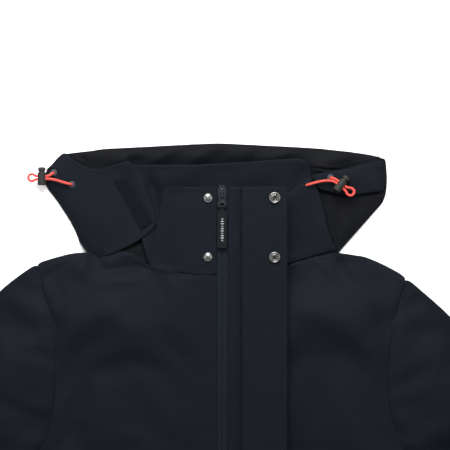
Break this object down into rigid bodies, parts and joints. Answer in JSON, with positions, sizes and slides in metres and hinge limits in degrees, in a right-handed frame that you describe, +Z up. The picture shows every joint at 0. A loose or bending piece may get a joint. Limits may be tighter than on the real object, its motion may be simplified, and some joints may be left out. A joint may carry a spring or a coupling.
{
  "type": "foul weather jacket",
  "caption": "Hooded foul weather jacket laid flat, with a zip front under a snap-down storm flap, a folded drawcord hood, cuff tabs and pocket flaps.",
  "frame": {"origin": "where the front zip crosses the neck seam, projected down to the underside of the back panel, which rests on the table", "axes": "+X across the chest towards the wearer's left sleeve, +Y from the hem towards the hood, +Z up from the table"},
  "size_m": [1.0096, 0.804, 0.0334],
  "materials": {
    "shell": "matte laminated twill",
    "lining": "matte",
    "tape": "matte woven tape",
    "velcro": "matte pile",
    "rubber": "satin",
    "metal": "satin",
    "slider": "satin",
    "plastic": "satin",
    "cord": "braided"
  },
  "bodies": {
    "garment": {"back_panel": "lining", "collar_back": "lining", "collar_left_front": "shell", "collar_right_front": "shell", "hood_back": "shell", "hood_crown": "shell", "hood_hook_patch": "velcro", "hood_left_wing": "shell", "hood_loop_patch": "velcro", "hood_right_wing": "shell", "left_cuff_patch": "velcro", "left_front_panel": "shell", "left_hood_cord": "cord", "left_hood_eyelet_1": "plastic", "left_hood_eyelet_2": "plastic", "left_sleeve_back": "lining", "left_sleeve_front": "shell", "left_zip_tape": "tape", "left_zip_top_stop": "slider", "placket": "shell", "right_cuff_patch": "velcro", "right_front_panel": "shell", "right_hood_cord": "cord", "right_hood_eyelet_1": "plastic", "right_hood_eyelet_2": "plastic", "right_sleeve_back": "lining", "right_sleeve_front": "shell", "right_zip_tape": "tape", "right_zip_top_stop": "slider", "snap_post_1": "metal", "snap_post_2": "metal", "snap_post_3": "metal", "snap_post_4": "metal", "snap_stud_1": "metal", "snap_stud_2": "metal", "snap_stud_3": "metal", "snap_stud_4": "metal", "zip_retainer_box": "plastic"},
    "storm_flap": {"storm_flap": "shell", "snap_cap_1": "metal", "snap_cap_2": "metal", "snap_cap_3": "metal", "snap_cap_4": "metal", "snap_socket_1": "metal", "snap_socket_2": "metal", "snap_socket_3": "metal", "snap_socket_4": "metal"},
    "zip_slider": {"zip_slider": "slider"},
    "pull_tab": {"pull_tab": "slider"},
    "puller": {"puller": "rubber"},
    "right_lock": {"right_lock_barrel": "plastic", "right_lock_spring": "metal"},
    "right_plunger": {"right_lock_plunger": "plastic"},
    "left_lock": {"left_lock_barrel": "plastic", "left_lock_spring": "metal"},
    "left_plunger": {"left_lock_plunger": "plastic"},
    "right_cuff_tab": {"right_cuff_tab": "shell"},
    "left_cuff_tab": {"left_cuff_tab": "shell"},
    "right_pocket_flap": {"right_pocket_flap": "shell"},
    "left_pocket_flap": {"left_pocket_flap": "shell"}
  },
  "joints": [
    {"name": "storm_flap_fold", "type": "hinge", "parent": "garment", "child": "storm_flap", "pos_m": [0.021, 0, 0.029], "axis": [0, 1, 0], "range_deg": [-180, 0]},
    {"name": "zip_slider_travel", "type": "slide", "parent": "garment", "child": "zip_slider", "axis": [0, 1, 0], "range_m": [-0.7, 0]},
    {"name": "pull_tab_swing", "type": "hinge", "parent": "zip_slider", "child": "pull_tab", "pos_m": [0, 0.0912, 0.0219], "axis": [-1, 0, 0], "range_deg": [0, 90]},
    {"name": "puller_swing", "type": "hinge", "parent": "pull_tab", "child": "puller", "pos_m": [0, 0.0748, 0.0219], "axis": [-1, 0, 0], "range_deg": [0, 80]},
    {"name": "right_lock_slide", "type": "slide", "parent": "garment", "child": "right_lock", "axis": [1, 0, 0], "range_m": [0, 0.002]},
    {"name": "right_plunger_press", "type": "slide", "parent": "right_lock", "child": "right_plunger", "axis": [0, -1, 0], "range_m": [0, 0.002], "stiffness_N_per_m": 300, "springref_m": -0.003, "deforming": ["right_lock_spring"]},
    {"name": "left_lock_slide", "type": "slide", "parent": "garment", "child": "left_lock", "axis": [-0.7838, 0.621, 0], "range_m": [0, 0.002]},
    {"name": "left_plunger_press", "type": "slide", "parent": "left_lock", "child": "left_plunger", "axis": [-0.621, -0.7838, 0], "range_m": [0, 0.002], "stiffness_N_per_m": 300, "springref_m": -0.003, "deforming": ["left_lock_spring"]},
    {"name": "right_cuff_tab_lift", "type": "hinge", "parent": "garment", "child": "right_cuff_tab", "pos_m": [-0.42925, -0.51497, 0.0232], "axis": [0.4067, 0.9135, 0], "range_deg": [0, 120]},
    {"name": "left_cuff_tab_lift", "type": "hinge", "parent": "garment", "child": "left_cuff_tab", "pos_m": [0.41556, -0.53069, 0.0232], "axis": [0.3827, -0.9239, 0], "range_deg": [0, 120]},
    {"name": "right_pocket_flap_lift", "type": "hinge", "parent": "garment", "child": "right_pocket_flap", "pos_m": [-0.131, -0.43, 0.0219], "axis": [-1, 0, 0], "range_deg": [0, 150]},
    {"name": "left_pocket_flap_lift", "type": "hinge", "parent": "garment", "child": "left_pocket_flap", "pos_m": [0.131, -0.43, 0.0219], "axis": [-1, 0, 0], "range_deg": [0, 150]}
  ]
}
